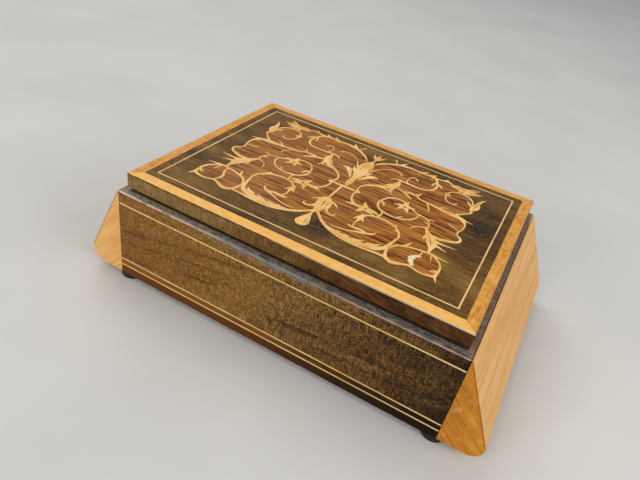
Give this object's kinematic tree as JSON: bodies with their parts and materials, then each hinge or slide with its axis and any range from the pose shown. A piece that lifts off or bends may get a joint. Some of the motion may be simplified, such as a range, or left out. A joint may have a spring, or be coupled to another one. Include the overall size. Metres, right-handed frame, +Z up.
{
  "type": "puzzle box",
  "caption": "Inlaid wooden puzzle box: hinged marquetry lid, sliding end wedges that hide a key and a keyhole, small lock, felt-lined tray.",
  "frame": {"origin": "on the surface that the box stands on, under the middle of the box", "axes": "+X to the right along the front, +Y from the front to the hinged back, +Z up"},
  "size_m": [0.2204, 0.1376, 0.0638],
  "materials": {
    "case_beech": "stained matt",
    "ledge_veneer": "worn satin lacquer",
    "stained_veneer": "satin lacquer, mottled figure",
    "plum_strips": "satin lacquer",
    "string_line": "satin lacquer",
    "liner_wood": "satin",
    "felt_lining": "short felt",
    "lid_wood": "sanded",
    "lid_edge_veneer": "satin lacquer",
    "maple_banding": "satin lacquer",
    "field_veneer": "satin lacquer",
    "rosewood_ground": "satin lacquer, striped",
    "scroll_maple": "satin lacquer",
    "brass": "polished, aged",
    "steel": "bright",
    "wedge_beech": "satin lacquer, fine fleck",
    "rail_wood": "waxed",
    "black_feet": "matt"
  },
  "bodies": {
    "case": {"bottom_board": "case_beech", "front_wall": "case_beech", "back_wall": "case_beech", "left_wall": "case_beech", "right_wall": "case_beech", "ledge_front": "ledge_veneer", "ledge_back": "ledge_veneer", "ledge_left": "ledge_veneer", "ledge_right": "ledge_veneer", "front_veneer": "stained_veneer", "front_lower_strips": "plum_strips", "front_strings": "string_line", "back_veneer": "stained_veneer", "back_lower_strips": "plum_strips", "back_strings": "string_line", "liner_front": "liner_wood", "liner_back": "liner_wood", "liner_left": "liner_wood", "liner_right": "liner_wood", "floor_felt": "felt_lining", "hinge_left_case_leaf": "brass", "hinge_left_pin": "brass", "hinge_right_case_leaf": "brass", "hinge_right_pin": "brass", "hinge_case_screws": "brass", "left_rail": "rail_wood", "right_rail": "rail_wood", "rail_screws": "brass", "stop_pins": "brass", "lock_case": "brass", "lock_cap": "brass", "lock_screws": "brass", "escutcheon": "brass", "feet": "black_feet", "foot_nails": "steel"},
    "lid": {"lid_board": "lid_wood", "lid_plinth": "liner_wood", "lid_felt": "felt_lining", "lid_edge_front": "lid_edge_veneer", "lid_edge_back": "lid_edge_veneer", "lid_edge_left": "lid_edge_veneer", "lid_edge_right": "lid_edge_veneer", "banding_front": "maple_banding", "banding_back": "maple_banding", "banding_left": "maple_banding", "banding_right": "maple_banding", "lid_border": "field_veneer", "lid_string": "string_line", "lid_field": "field_veneer", "marquetry_ground": "rosewood_ground", "scrollwork": "scroll_maple", "hinge_left_lid_leaf": "brass", "hinge_right_lid_leaf": "brass", "hinge_lid_screws": "brass", "link_plate": "brass", "link_screws": "brass"},
    "left_wedge": {"left_wedge": "wedge_beech", "key": "brass"},
    "right_wedge": {"right_wedge": "wedge_beech"},
    "lock_bolt": {"lock_bolt": "steel"}
  },
  "joints": [
    {"name": "lid_hinge", "type": "hinge", "parent": "case", "child": "lid", "pos_m": [0, 0.06665, 0.05495], "axis": [-1, 0, 0], "range_deg": [0, 100]},
    {"name": "left_wedge_slide", "type": "slide", "parent": "case", "child": "left_wedge", "axis": [0, -1, 0], "range_m": [0, 0.07]},
    {"name": "right_wedge_slide", "type": "slide", "parent": "case", "child": "right_wedge", "axis": [0, 1, 0], "range_m": [0, 0.07]},
    {"name": "lock_bolt_slide", "type": "slide", "parent": "case", "child": "lock_bolt", "axis": [0, 1, 0], "range_m": [0, 0.004]}
  ]
}
